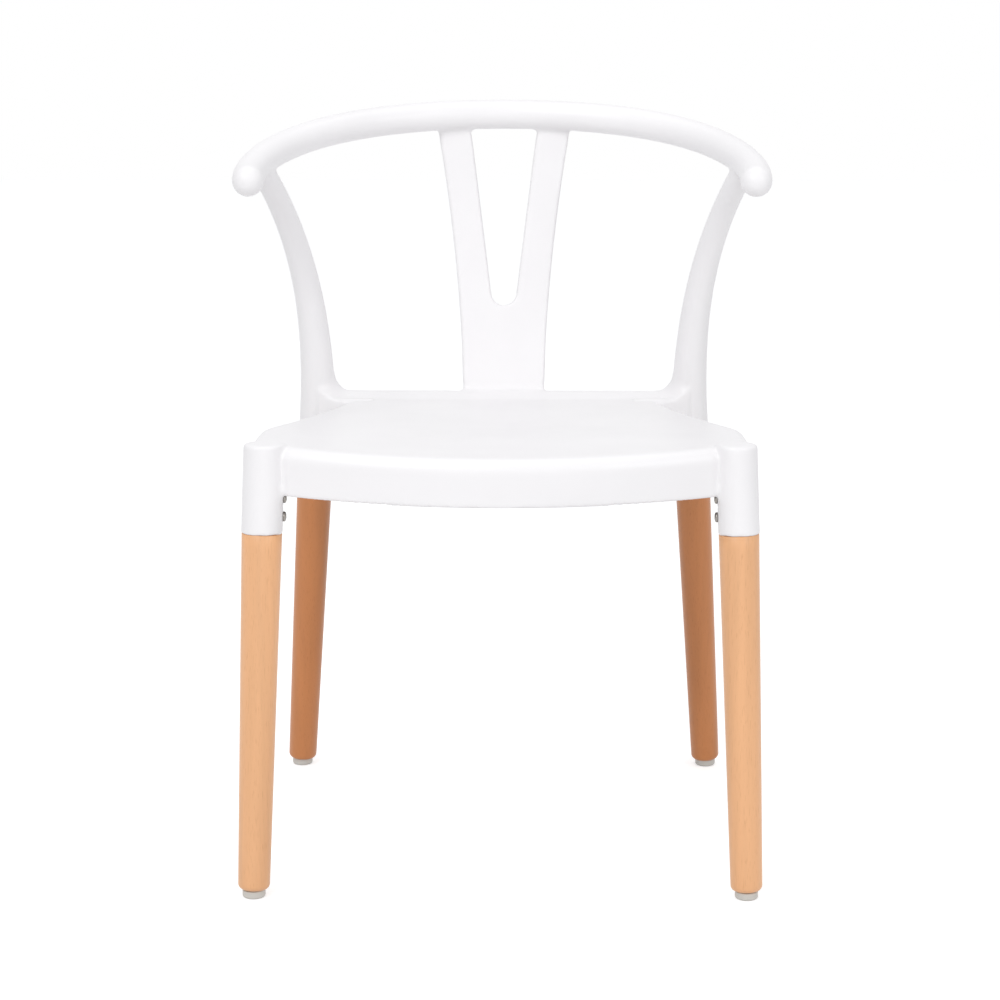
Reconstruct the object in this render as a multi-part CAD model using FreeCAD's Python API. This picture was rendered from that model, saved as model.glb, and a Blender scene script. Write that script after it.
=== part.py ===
import FreeCAD, Part
import math
import os

# A dining chair with a one-piece moulded plastic shell on four turned beech legs.
# Millimetres. +Z is up, the sitter faces -Y, and the origin is on the floor under the middle of the chair.

V = FreeCAD.Vector
ORIGIN = V(0, 0, 0)
X_AXIS = V(1, 0, 0)
Y_AXIS = V(0, 1, 0)
UP = V(0, 0, 1)
DOWN = V(0, 0, -1)

# Overall sizes
overall_height = 760.0
front_reach = 250.5
back_reach = 250.5

# Legs: where each pair stands, where it enters its socket, and its taper
foot_x = {"front": 243.0, "rear": 233.7}
foot_y = {"front": -217.0, "rear": 220.0}
mouth_x = {"front": 230.4, "rear": 210.3}
mouth_y = {"front": -196.0, "rear": 186.0}
mouth_height = 360.0
leg_top_radius = 19.9
leg_foot_radius = 15.7
leg_foot_round = 5.5
tenon_length = 72.0
tenon_chamfer = 2.0

# Glides under the legs, each with its nail
glide_height = 8.0
glide_radius = 11.4
glide_rim = 2.4
nail_radius = 1.25
nail_length = 24.0
nail_point = 3.0
nail_head_radius = 4.0
nail_head_height = 1.2
nail_cover = 3.0
nail_clearance = 0.05

# Sockets of the shell
socket_wall = 4.0
socket_clearance = 0.15
socket_end_room = 2.0
front_socket_rise = 0.3
front_socket_round = 2.5

# Bolts through the socket walls, and the threaded inserts in the tenons
bolt_heights = {"lower": 19.0, "upper": 37.0}
bolt_radius = 3.0
bolt_length = 18.0
bolt_head_radius = 5.25
bolt_head_height = 3.3
bolt_head_rim = 1.2
bolt_dome_middle = (4.4, 2.4)
bolt_crown_radius = 2.6
bolt_key_width = 4.0
bolt_key_depth = 2.0
bolt_hole_clearance = 0.3
bolt_thread_clearance = 0.03
bolt_tip_room = 2.0
pad_radius = 6.6
pad_proud = 0.4
insert_radius = 4.9
insert_length = 11.5
insert_sink = 1.0
insert_clearance = 0.05

# Seat: its outline, the shape of its top and its walls
seat_height = 449.0
seat_columns = 8
seat_rows = 20
seat_slope = 0.034
front_dip = 6.5
seat_dish = 7.0
front_corner_x = 206.0
front_corner_y = -204.5
side_start_y = -150.0
side_x = 245.0
side_bend_y = -72.0
rear_corner_x = 157.0
rear_y = 196.0
front_corner_round = 12.0
side_start_round = 25.0
side_bend_round = 90.0
lip_round = 9.0
rear_corner_round = lip_round + 3.0
panel_thickness = 4.5
apron_wall = 4.0
apron_bottom = 399.5
rear_rim_rise = 7.5
rear_rim_run = 30.0
rear_corner_depth = 30.0
rear_corner_edge = 3.0
rear_flare_radius = 21.0

# Ribs under the seat
rib_thickness = 2.6
rib_pitch = 80.0
rib_height_above_apron = 10.0

# Posts, from the top of the rear sockets to the rail
post_foot_height = 440.0
post_foot_radius = leg_top_radius - 0.3
post_root = 8.0
post_top_half_width = 12.0
post_top_half_depth = 13.0
post_taper_power = 1.5
post_outward_power = 2.3
post_forward_power = 3.0
post_lean_share = 0.15
post_joint_angle = 79.0
post_sections = 9
post_step = 0.01

# Top rail: an ellipse in plan that falls towards its ball ends
rail_half_span = 257.0
rail_sweep_depth = 234.0
rail_end_angle = 96.0
rail_swell_angle = 88.0
rail_drop = 54.0
rail_crown_radius = 15.5
rail_arm_radius = 16.5
rail_end_radius = 18.0
rail_end_flats = 4
rail_sections = 12
rail_step = 0.5

# Back splat with its slot
splat_foot_half = 45.0
splat_waist_half = 46.5
splat_waist_height = 55.0
splat_top_half = 76.0
splat_flare_sag = 4.0
splat_thickness = 9.0
splat_foot_y = 190.0
splat_bow = 7.0
slot_bottom_height = 110.5
slot_bottom_radius = 14.0
slot_top_half = 38.5


def bar(radius, start, end):
    """A round bar between two points."""
    along = end.sub(start)
    return Part.makeCylinder(radius, along.Length, start, along)


def turned(outline):
    """A solid of revolution about Z from (radius, height) corners that start and end on the axis."""
    corners = [V(r, 0, z) for r, z in outline]
    face = Part.Face(Part.makePolygon(corners + corners[:1]))
    return face.revolve(ORIGIN, UP, 360)


def mirrored(shape):
    """The same shape on the other side of the chair."""
    return shape.mirror(ORIGIN, X_AXIS)


def mirror_point(point):
    """The same point on the other side of the chair."""
    return V(-point.x, point.y, point.z)


def both_sides(shape):
    """A shape and its mirror image."""
    return [shape, mirrored(shape)]


def eased(share):
    """A smooth step from 0 to 1."""
    held = min(1.0, max(0.0, share))
    return held * held * (3 - 2 * held)


quarter_turns = [math.radians(90 * i / 3) for i in range(4)]


def softened(shape, radius, rims):
    """Rounds the rims of a shape: four narrow flats that hug an arc of the given radius."""
    first = radius * (2 - math.sqrt(2))
    second = radius * (math.tan(math.pi / 8) - math.tan(math.pi / 16))
    shape = shape.makeChamfer(first, rims(shape))
    return shape.makeChamfer(second, rims(shape))


# Leg axes
def mouth(end):
    """The middle of a socket's mouth, on the right-hand side."""
    return V(mouth_x[end], mouth_y[end], mouth_height)


def foot(end):
    """The point on the floor that a leg's axis runs through."""
    return V(foot_x[end], foot_y[end], 0)


def leg_axis(end):
    """Unit vector up a leg."""
    return mouth(end).sub(foot(end)).normalize()


def on_axis(end, height):
    """The point of a leg's axis at a height above the floor."""
    share = height / mouth_height
    return foot(end) + (mouth(end) - foot(end)) * share


def leg_length(end):
    """Length of a leg's axis from the floor to the mouth of its socket."""
    return mouth(end).sub(foot(end)).Length


def in_leg_frame(shape, end):
    """Moves a shape drawn about Z, with the socket's mouth at the origin, onto a leg's axis."""
    placed = shape.copy()
    placed.Placement = FreeCAD.Placement(mouth(end), FreeCAD.Rotation(UP, leg_axis(end)))
    return placed


# Legs
tenon_radius = leg_top_radius - socket_wall - socket_clearance
socket_bore_radius = tenon_radius + socket_clearance


def leg_radius(end, below_mouth):
    """Radius of a leg's taper at a distance below its socket's mouth."""
    taper = (leg_top_radius - leg_foot_radius) / leg_length(end)
    return leg_top_radius - taper * below_mouth


def insert_hole_end():
    """How far from the leg's axis the hole for an insert and its bolt ends."""
    return tenon_radius - insert_sink - insert_length


def bolt_tip():
    """How far from the leg's axis a bolt ends."""
    return leg_top_radius + pad_proud - bolt_length


def leg(end):
    """A turned leg: a tapered body, a shoulder and a tenon drilled for two inserts."""
    lean = math.acos(leg_axis(end).z)
    below = leg_length(end) - glide_height + leg_foot_radius * math.tan(lean)
    body = turned(foot_round(end, below) + [
        (leg_top_radius, 0),
        (tenon_radius, 0),
        (tenon_radius, tenon_length - tenon_chamfer),
        (tenon_radius - tenon_chamfer, tenon_length),
        (0, tenon_length),
    ])
    for height in bolt_heights.values():
        outside = V(-leg_top_radius, 0, height)
        inner_end = V(-insert_hole_end(), 0, height)
        tip = V(-bolt_tip() + bolt_tip_room, 0, height)
        body = body.cut(bar(insert_radius + insert_clearance, outside, inner_end))
        body = body.cut(bar(bolt_radius + bolt_hole_clearance, outside, tip))
    body = in_leg_frame(body, end)
    centre = on_axis(end, glide_height)
    saw_side = 4 * leg_top_radius
    sawn_off = Part.makeBox(saw_side, saw_side, saw_side, centre - V(saw_side / 2, saw_side / 2, saw_side))
    body = body.cut(sawn_off)
    nail_hole = bar(nail_radius + nail_clearance, centre, centre + UP * nail_depth())
    return body.cut(nail_hole)


def foot_round(end, below):
    """The corners of a leg's turned end, which follow a quarter of a circle."""
    side = leg_radius(end, below - leg_foot_round)
    corners = [(0, -below)]
    for turn in quarter_turns:
        corners.append((
            side - leg_foot_round * (1 - math.sin(turn)),
            -below + leg_foot_round * (1 - math.cos(turn)),
        ))
    return corners


# Glides and nails
def nail_depth():
    """How deep a nail's hole goes into a leg."""
    return nail_length + nail_cover + nail_clearance - glide_height + nail_point / 2


def glide(end):
    """A round plastic button with a bevelled rim, moulded round the head of its nail."""
    centre = on_axis(end, glide_height)
    base = V(centre.x, centre.y, 0)
    button = turned([
        (0, 0),
        (glide_radius - glide_rim, 0),
        (glide_radius, glide_rim),
        (glide_radius, glide_height),
        (0, glide_height),
    ]).translated(base)
    seat = base + UP * (nail_cover - nail_clearance)
    pocket = bar(nail_head_radius + nail_clearance, seat, seat + UP * (nail_head_height + 2 * nail_clearance))
    shank = bar(nail_radius + nail_clearance, seat, base + UP * (glide_height + nail_cover))
    return button.cut(pocket).cut(shank)


def nail(end):
    """A flat-headed nail with a pointed shank."""
    centre = on_axis(end, glide_height)
    shape = turned([
        (0, 0),
        (nail_head_radius, 0),
        (nail_head_radius, nail_head_height),
        (nail_radius, nail_head_height),
        (nail_radius, nail_length - nail_point),
        (0, nail_length),
    ])
    return shape.translated(V(centre.x, centre.y, nail_cover))


# Bolts and inserts, drawn in the leg's frame with the head on the inboard side
def bolt(end, height):
    """A button-head screw with a hexagonal key recess."""
    shank_radius = bolt_radius - bolt_thread_clearance
    shape = turned([
        (0, -bolt_length),
        (shank_radius, -bolt_length),
        (shank_radius, 0),
        (bolt_head_radius, 0),
        (bolt_head_radius, bolt_head_rim),
        bolt_dome_middle,
        (bolt_crown_radius, bolt_head_height),
        (0, bolt_head_height),
    ])
    corner_radius = bolt_key_width / math.sqrt(3)
    key_floor = bolt_head_height - bolt_key_depth
    corners = []
    for i in range(7):
        turn = math.radians(60 * i)
        corners.append(V(corner_radius * math.cos(turn), corner_radius * math.sin(turn), key_floor))
    hexagon = Part.Face(Part.makePolygon(corners))
    shape = shape.cut(hexagon.extrude(UP * bolt_head_height))
    shape.Placement = FreeCAD.Placement(
        V(-leg_top_radius - pad_proud, 0, height), FreeCAD.Rotation(UP, V(-1, 0, 0))
    )
    return in_leg_frame(Part.makeCompound([shape]), end).Solids[0]


def insert(end, height):
    """A threaded insert, a plain sleeve round the bolt."""
    start = V(-(tenon_radius - insert_sink), 0, height)
    finish = V(-insert_hole_end(), 0, height)
    sleeve = bar(insert_radius, start, finish).cut(bar(bolt_radius, start, finish))
    return in_leg_frame(Part.makeCompound([sleeve]), end).Solids[0]


# Seat
def seat_top(x, y):
    """Height of the seat's upper face."""
    depth = rear_y - front_corner_y
    back = (y - front_corner_y) / depth
    across = min(1.0, abs(x) / side_x)
    height = seat_height - seat_slope * (y - front_corner_y)
    height -= front_dip * (1 - across ** 2) * (1 - eased(back * 4))
    height -= seat_dish * (1 - across ** 2) * math.sin(math.pi * min(1.0, max(0.0, back))) ** 2
    rim_end = rear_y - lip_round
    height += rear_rim_rise * eased((y - rim_end + rear_rim_run) / rear_rim_run)
    return height


def under_seat_top(lowered):
    """Everything that lies between the floor of the seat's block and its upper face, lowered by a distance."""
    half = side_x + leg_top_radius
    y_from = -front_reach - leg_top_radius
    y_to = rear_y + rear_corner_depth
    grid = []
    for i in range(seat_columns + 1):
        x = -half + 2 * half * i / seat_columns
        line = [y_from + (y_to - y_from) * j / seat_rows for j in range(seat_rows + 1)]
        grid.append([V(x, y, seat_top(x, y) - lowered) for y in line])
    surface = Part.BSplineSurface()
    surface.interpolate(grid)
    return surface.toShape().extrude(DOWN * (seat_height - apron_bottom + 3 * panel_thickness))


def seat_outline(inset):
    """The seat's outline at the bottom of its aprons, as a face, drawn in by a distance."""
    corners = [
        V(front_corner_x, front_corner_y, 0),
        V(side_x, side_start_y, 0),
        V(side_x, side_bend_y, 0),
        V(rear_corner_x, rear_y, 0),
    ]
    left = [V(-c.x, c.y, 0) for c in reversed(corners)]
    front = Part.Arc(left[-1], V(0, -front_reach, 0), corners[0]).toShape()
    path = Part.makePolygon(corners + left)
    wire = Part.Wire([front] + path.Edges)
    block = Part.Face(wire).extrude(UP)
    rounds = [
        (corners[0], front_corner_round),
        (corners[1], side_start_round),
        (corners[2], side_bend_round),
        (corners[3], rear_corner_round),
    ]
    for corner, radius in rounds:
        for x in (corner.x, -corner.x):
            at = [
                e for e in block.Edges
                if e.BoundBox.ZLength > 0.5 and abs(e.BoundBox.Center.x - x) < 0.01
                and abs(e.BoundBox.Center.y - corner.y) < 0.01
            ]
            block = block.makeFillet(radius, at)
    floor = [f for f in block.Faces if f.BoundBox.ZMax < 0.01][0]
    if inset:
        floor = Part.Face(floor.OuterWire.makeOffset2D(-inset))
    return floor.translated(UP * apron_bottom)


def seat_block(inset, lowered):
    """The seat's block: its outline, as high as its upper face."""
    tall = seat_outline(inset).extrude(UP * (seat_height - apron_bottom + 2 * panel_thickness))
    return tall.common(under_seat_top(lowered))


def lip_rims(block):
    """The long upper edges of the seat's block, or of its rear corner."""
    low = apron_bottom + panel_thickness
    return [e for e in block.Edges if e.BoundBox.ZMin > low and e.Length > 3 * lip_round]


def rear_corner():
    """The corner between the seat and a rear socket, with its flare up to the post."""
    axis = on_axis("rear", seat_height)
    front_y = rear_y - rear_corner_depth
    inner_x = rear_corner_x - lip_round
    plan = Part.makePlane(axis.x - inner_x, rear_corner_depth, V(inner_x, front_y, apron_bottom))
    block = plan.extrude(UP * (seat_height - apron_bottom + 2 * panel_thickness))
    block = block.common(under_seat_top(0)).Solids[0]
    block = softened(block, lip_round, back_rims)
    pocket_plan = Part.makePlane(
        axis.x - inner_x, rear_corner_depth - 2 * apron_wall, V(inner_x, front_y + apron_wall, apron_bottom)
    )
    pocket = pocket_plan.extrude(UP * (seat_height - apron_bottom)).common(under_seat_top(panel_thickness))
    return block.cut(pocket).fuse(rear_flare())


def back_rims(block):
    """The upper edges along the back of a rear corner's block."""
    low = apron_bottom + panel_thickness
    return [
        e for e in block.Edges
        if e.BoundBox.ZMin > low and e.BoundBox.XLength > 2 * lip_round
        and e.BoundBox.YMin > rear_y - lip_round
    ]


def rear_flare():
    """The concave sweep from the seat's rear corner up to the inner side of a post."""
    axis = on_axis("rear", seat_height)
    rim_z = seat_top(rear_corner_x, rear_y - lip_round)
    top_z = rim_z + rear_flare_radius
    share = (top_z - post_point(0).z) / (rail_point(post_joint_angle).z - post_point(0).z)
    top = V(post_point(share).x - post_half_width(share), 0, top_z)
    centre = top - X_AXIS * rear_flare_radius
    toe = centre - UP * rear_flare_radius
    bend = centre + (X_AXIS - UP) * (rear_flare_radius / math.sqrt(2))
    root = toe - UP * panel_thickness
    far = V(axis.x, 0, root.z)
    upper_far = V(axis.x, 0, top.z)
    sides = [
        Part.LineSegment(root, toe),
        Part.Arc(toe, bend, top),
        Part.LineSegment(top, upper_far),
        Part.LineSegment(upper_far, far),
        Part.LineSegment(far, root),
    ]
    outline = Part.Wire([side.toShape() for side in sides])
    depth = rear_corner_depth - lip_round / 2
    flare = Part.Face(outline).extrude(Y_AXIS * depth)
    edges = [e for e in flare.Edges if e.Curve.TypeId == "Part::GeomCircle"]
    flare = flare.makeChamfer(rear_corner_edge, edges)
    return flare.translated(Y_AXIS * (rear_y - rear_corner_depth))


def ribs(cavity):
    """The grid of ribs under the seat's panel."""
    low = apron_bottom + rib_height_above_apron
    height = seat_height - low
    count = int(side_x // rib_pitch)
    slabs = []
    for i in range(-count, count + 1):
        at = i * rib_pitch - rib_thickness / 2
        slabs.append(Part.makeBox(rib_thickness, 2 * front_reach, height, V(at, -front_reach, low)))
        slabs.append(Part.makeBox(2 * side_x, rib_thickness, height, V(-side_x, at, low)))
    grid = slabs[0].multiFuse(slabs[1:])
    return grid.common(cavity)


# Sockets
def socket(end, top):
    """The outside of a socket, from its mouth to a height, with pads for the bolt heads."""
    length = (top - mouth_height) / leg_axis(end).z + leg_top_radius
    outside = Part.makeCylinder(leg_top_radius, length)
    for height in bolt_heights.values():
        pad = bar(pad_radius, V(0, 0, height), V(-leg_top_radius - pad_proud, 0, height))
        outside = outside.fuse(pad)
    outside = in_leg_frame(outside, end)
    side = 4 * leg_top_radius
    middle = on_axis(end, top)
    return outside.cut(Part.makeBox(side, side, side, middle - V(side / 2, side / 2, 0)))


def front_socket():
    """A front socket with its rounded top."""
    top = seat_height + front_socket_rise
    shape = socket("front", top)
    return softened(shape, front_socket_round, front_socket_rims)


def front_socket_rims(shape):
    """The rims round the top of a front socket."""
    low = seat_height + front_socket_rise - front_socket_round
    return [e for e in shape.Edges if e.BoundBox.ZMin > low and e.Length > 3 * leg_top_radius]


def socket_holes(end):
    """The bore for the tenon, the bolt holes and the room for the bolt heads."""
    bore = bar(socket_bore_radius, V(0, 0, -leg_top_radius), V(0, 0, tenon_length + socket_end_room))
    cuts = [bore]
    for height in bolt_heights.values():
        pad_face = V(-leg_top_radius - pad_proud, 0, height)
        cuts.append(bar(bolt_radius + bolt_hole_clearance, V(0, 0, height), pad_face))
        cuts.append(bar(pad_radius, pad_face, pad_face - X_AXIS * (bolt_head_height + bolt_tip_room)))
    return in_leg_frame(cuts[0].multiFuse(cuts[1:]), end)


# Back
def rail_point(angle):
    """A point of the rail's centre line at an angle from its middle, on the right-hand side."""
    turn = math.radians(angle)
    share = angle / rail_end_angle
    fall = rail_drop * (share ** 2 + share ** 4 * (1 - share))
    return V(
        rail_half_span * math.sin(turn),
        back_reach - rail_crown_radius - rail_sweep_depth * (1 - math.cos(turn)),
        overall_height - rail_crown_radius - fall,
    )


def rail_radius(angle):
    """Radius of the rail at an angle from its middle."""
    swell = (rail_end_radius - rail_arm_radius) * eased((angle - rail_swell_angle) / (rail_end_angle - rail_swell_angle))
    return rail_crown_radius + (rail_arm_radius - rail_crown_radius) * eased(angle / rail_end_angle) + swell


def ring(centre, along, half_width, half_depth):
    """An upright-ended elliptical section about a centre line; its width lies along X."""
    across = (X_AXIS - along * X_AXIS.dot(along)).normalize()
    deep = along.cross(across).normalize()
    ellipse = Part.Ellipse(ORIGIN, max(half_width, half_depth), min(half_width, half_depth))
    major = across if half_width >= half_depth else deep
    minor = deep if half_width >= half_depth else across
    shape = Part.Wire(ellipse.toShape())
    matrix = FreeCAD.Matrix(
        major.x, minor.x, major.cross(minor).x, centre.x,
        major.y, minor.y, major.cross(minor).y, centre.y,
        major.z, minor.z, major.cross(minor).z, centre.z,
    )
    return shape.transformed(matrix)


def rail():
    """The bent top rail with its rounded, slightly swollen ends."""
    half = []
    for i in range(rail_sections + 1):
        angle = i * rail_end_angle / rail_sections
        along = (rail_point(angle + rail_step) - rail_point(angle - rail_step)).normalize()
        half.append((rail_point(angle), along, rail_radius(angle)))
    end, along, radius = half[-1]
    for i in range(1, rail_end_flats):
        turn = math.radians(90 * i / rail_end_flats)
        half.append((end + along * rail_end_radius * math.sin(turn), along, rail_end_radius * math.cos(turn)))
    sections = []
    for centre, along, radius in reversed(half[1:]):
        sections.append(Part.Wire(Part.makeCircle(radius, mirror_point(centre), V(along.x, -along.y, -along.z))))
    for centre, along, radius in half:
        sections.append(Part.Wire(Part.makeCircle(radius, centre, along)))
    return Part.makeLoft(sections, True, True)


def post_point(share):
    """A point of a post's centre line, from its foot in the rear socket to the middle of the rail."""
    start = on_axis("rear", post_foot_height - post_root)
    end = rail_point(post_joint_angle)
    forward = post_lean_share * share + (1 - post_lean_share) * share ** post_forward_power
    return V(
        start.x + (end.x - start.x) * share ** post_outward_power,
        start.y + (end.y - start.y) * forward,
        start.z + (end.z - start.z) * share,
    )


def post_half_width(share):
    """Half the width of a post across the chair."""
    return post_top_half_width + (post_foot_radius - post_top_half_width) * (1 - share) ** post_taper_power


def post_half_depth(share):
    """Half the depth of a post from front to back."""
    return post_top_half_depth + (post_foot_radius - post_top_half_depth) * (1 - share) ** post_taper_power


def post():
    """A post that bows forward and outward, thinner towards the rail."""
    sections = []
    for i in range(post_sections):
        share = i / (post_sections - 1)
        behind = post_point(max(0.0, share - post_step))
        along = (post_point(share + post_step) - behind).normalize()
        sections.append(ring(post_point(share), along, post_half_width(share), post_half_depth(share)))
    return Part.makeLoft(sections, True, True)


def splat_y(share):
    """How far back the splat's middle lies, from its foot to the rail."""
    top_y = back_reach - rail_crown_radius
    return splat_foot_y + (top_y - splat_foot_y) * share + splat_bow * math.sin(math.pi * share)


def splat():
    """The Y-shaped back splat: an outline with a slot, bent to its profile."""
    foot_z = seat_top(0, rear_y) - panel_thickness
    top_z = overall_height - rail_crown_radius
    waist_z = foot_z + splat_waist_height
    waist = V(splat_waist_half, 0, waist_z)
    shoulder = V(splat_top_half, 0, top_z)
    between = (waist + shoulder) * 0.5 - X_AXIS * splat_flare_sag
    corner = V(splat_foot_half, 0, foot_z)
    sides = [
        Part.LineSegment(mirror_point(corner), corner),
        Part.LineSegment(corner, waist),
        Part.Arc(waist, between, shoulder),
        Part.LineSegment(shoulder, mirror_point(shoulder)),
        Part.Arc(mirror_point(shoulder), mirror_point(between), mirror_point(waist)),
        Part.LineSegment(mirror_point(waist), mirror_point(corner)),
    ]
    outline = Part.Wire([side.toShape() for side in sides])
    plate = Part.Face(outline).extrude(Y_AXIS * back_reach)
    plate = plate.cut(splat_slot(foot_z, top_z, back_reach))
    levels = [(0.0, foot_z), (0.5, (foot_z + top_z) / 2), (1.0, top_z)]
    front = [V(-splat_top_half, splat_y(share) - splat_thickness / 2, z) for share, z in levels]
    back = [point + Y_AXIS * splat_thickness for point in front]
    sides = [
        Part.Arc(front[0], front[1], front[2]),
        Part.LineSegment(front[2], back[2]),
        Part.Arc(back[2], back[1], back[0]),
        Part.LineSegment(back[0], front[0]),
    ]
    profile = Part.Wire([side.toShape() for side in sides])
    return plate.common(Part.Face(profile).extrude(X_AXIS * 2 * splat_top_half))


def splat_slot(foot_z, top_z, reach):
    """The slot between the arms of the splat, with its round bottom."""
    centre_z = foot_z + slot_bottom_height
    run = top_z - centre_z
    lean = math.atan2(slot_top_half - slot_bottom_radius, run)
    side_x_low = slot_bottom_radius * math.cos(lean)
    side_z_low = centre_z - slot_bottom_radius * math.sin(lean)
    top = V(slot_top_half, 0, top_z)
    low = V(side_x_low, 0, side_z_low)
    bottom = V(0, 0, centre_z - slot_bottom_radius)
    sides = [
        Part.LineSegment(V(-top.x, 0, top.z), top).toShape(),
        Part.LineSegment(top, low).toShape(),
        Part.Arc(low, bottom, V(-low.x, 0, low.z)).toShape(),
        Part.LineSegment(V(-low.x, 0, low.z), V(-top.x, 0, top.z)).toShape(),
    ]
    return Part.Face(Part.Wire(sides)).extrude(Y_AXIS * reach)


def moulded_shell():
    """The whole one-piece shell: seat, aprons, ribs, sockets, posts, rail and splat."""
    block = seat_block(0, 0)
    block = softened(block, lip_round, lip_rims)
    cavity = seat_block(apron_wall, panel_thickness)
    seat = block.cut(cavity).fuse(ribs(cavity))
    pieces = []
    for shape in (front_socket(), socket("rear", post_foot_height), rear_corner(), post()):
        pieces += both_sides(shape)
    shell = seat.multiFuse(pieces + [rail(), splat()])
    holes = []
    for end in ("front", "rear"):
        holes += both_sides(socket_holes(end))
    return shell.cut(holes[0].multiFuse(holes[1:]))


def save(name, shapes):
    """Writes one node and prints what it is."""
    shape = shapes[0] if len(shapes) == 1 else Part.makeCompound(shapes)
    shape.exportStep(f"parts/{name}.step")
    box = shape.BoundBox
    limits = [box.XMin, box.XMax, box.YMin, box.YMax, box.ZMin, box.ZMax]
    print(name, shape.isValid(), len(shape.Solids), round(shape.Volume), [round(v, 1) for v in limits])


def main():
    os.makedirs("parts", exist_ok=True)
    save("moulded_shell", [moulded_shell()])
    for end in ("front", "rear"):
        for name, shape in {"leg": leg(end), "glide": glide(end), "glide_nail": nail(end)}.items():
            save(f"{end}_right_{name}", [shape])
            save(f"{end}_left_{name}", [mirrored(shape)])
        for level, height in bolt_heights.items():
            save(f"{end}_{level}_bolts", both_sides(bolt(end, height)))
            save(f"{end}_{level}_inserts", both_sides(insert(end, height)))


if __name__ == "__main__":
    main()
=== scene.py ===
"""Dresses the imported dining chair: a moulded shell, turned legs, glides, screws and a studio."""

import math

import bmesh
import bpy
import numpy as np
from mathutils import Matrix, Vector


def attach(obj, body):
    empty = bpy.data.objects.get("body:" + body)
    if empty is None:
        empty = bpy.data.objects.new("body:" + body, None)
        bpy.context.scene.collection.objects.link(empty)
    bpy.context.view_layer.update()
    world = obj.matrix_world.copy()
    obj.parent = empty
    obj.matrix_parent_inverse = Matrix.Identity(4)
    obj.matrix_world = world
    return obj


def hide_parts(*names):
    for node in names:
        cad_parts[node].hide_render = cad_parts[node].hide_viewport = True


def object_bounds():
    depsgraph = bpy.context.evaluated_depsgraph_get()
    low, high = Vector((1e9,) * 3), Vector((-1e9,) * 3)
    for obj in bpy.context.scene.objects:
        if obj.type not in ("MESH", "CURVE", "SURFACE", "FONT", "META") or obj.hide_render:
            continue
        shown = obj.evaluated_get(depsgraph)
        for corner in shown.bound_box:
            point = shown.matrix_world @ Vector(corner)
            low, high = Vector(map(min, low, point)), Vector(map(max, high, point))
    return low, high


bl_info = {
    "name": "Moulded Dining Chair",
    "version": (1, 0, 0),
    "blender": (4, 5, 0),
    "location": "3D View > Sidebar > Chair",
    "description": "Builds the visual model of a moulded dining chair round its packed solids",
    "category": "Object",
}

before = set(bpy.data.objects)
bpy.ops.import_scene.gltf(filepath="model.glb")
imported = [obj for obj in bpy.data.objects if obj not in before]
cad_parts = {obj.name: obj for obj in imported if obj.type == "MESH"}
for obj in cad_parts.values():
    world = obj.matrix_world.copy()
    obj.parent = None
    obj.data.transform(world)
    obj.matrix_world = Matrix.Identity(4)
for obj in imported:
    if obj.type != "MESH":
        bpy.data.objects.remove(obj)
cad_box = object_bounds()

MM = 0.001
ROOT = "root"
ENDS = ("front", "rear")
SIDES = {"right": 1, "left": -1}
UP = Vector((0, 0, 1))


def tenths(metres):
    """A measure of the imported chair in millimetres, to a tenth."""
    return round(float(metres) / MM, 1)


# Outer sizes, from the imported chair. All sizes but the studio's are in millimetres.
OVERALL_HEIGHT = tenths(cad_box[1][2])
FRONT_REACH = tenths(-cad_box[0][1])
BACK_REACH = tenths(cad_box[1][1])

# Legs and glides. A size named after a round part alone is its radius.
FOOT = {"front": (243.0, -217.0), "rear": (233.7, 220.0)}
LEG_FOOT = 15.7
LEG_FOOT_ROUND = 5.5
LEG_TOP = 19.6
LEG_TOP_ROUND = 0.25
TENON = 15.75
TENON_LENGTH = 70.0
TENON_CHAMFER = 2.0
GLIDE = 11.4
GLIDE_HEIGHT = 8.0
GLIDE_ROUND = 2.4

# Sockets
MOUTH = {"front": (230.3, -195.9), "rear": (210.2, 185.8)}
MOUTH_HEIGHT = 362.0
MOUTH_CHAMFER = 0.5
SOCKET = 20.1
SOCKET_DRAFT = 0.4
BORE = 15.9
BORE_LENGTH = 72.0
FRONT_TOP_PROUD = 0.3
FRONT_TOP_ROUND = 2.5
PAD = 5.5
PAD_PROUD = 0.2
PAD_ROOT = 3.0

# Screws, at heights above the socket's mouth
SCREW_HEIGHTS = {"lower": 17.0, "upper": 35.0}
SCREW_LENGTH = 18.0
SCREW_SHANK = 2.97
SCREW_TIP = 2.6
SCREW_TIP_CENTRE = 1.5
SCREW_TIP_CHAMFER = 0.6
SCREW_HEAD = 4.9
SCREW_HEAD_HEIGHT = 2.8
SCREW_HEAD_RIM = 1.1
SCREW_HEAD_CHAMFER = 0.25
SCREW_CROWN = 2.6
SCREW_CROWN_ANGLE = 78.0
KEY = 2.0
KEY_DEPTH = 1.6
KEY_CHAMFER = 0.2

# Seat. A corner of its outline has a place and the radius of its round.
SEAT_CORNERS = ((206.0, -204.5, 16.0), (245.0, -150.0, 25.0), (245.0, -72.0, 90.0), (157.0, 196.0, 16.0))
REAR_Y = SEAT_CORNERS[-1][1]
SEAT_MIDDLE_Y = -20.0
SEAT_SLOPE = 0.034
FRONT_DIP = 6.5
FRONT_DIP_SHARE = 0.25
DISH_DEPTH = 7.0
REAR_RISE = 7.5
REAR_RISE_LENGTH = 30.0
REAR_RIM = 9.0
PANEL = 4.5
APRON_BOTTOM = 399.5
APRON_WALL = 4.0
APRON_SAG = 2.0
APRON_SAG_FADE = 60.0
EDGE_ROUND = 1.5
UNDER_LIP_SHARE = 0.6
FRONT_ARC_GAP_SHARE = 0.3
OUTLINE_STEP = 3.0
PANEL_RINGS = 40

# Ribs under the seat
RIB_PITCH = 72.0
RIB_HALF = 1.3
RIB_RISE = 10.0
RIB_ROOT = 0.6
RIB_END_ROOT = 1.0

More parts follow.
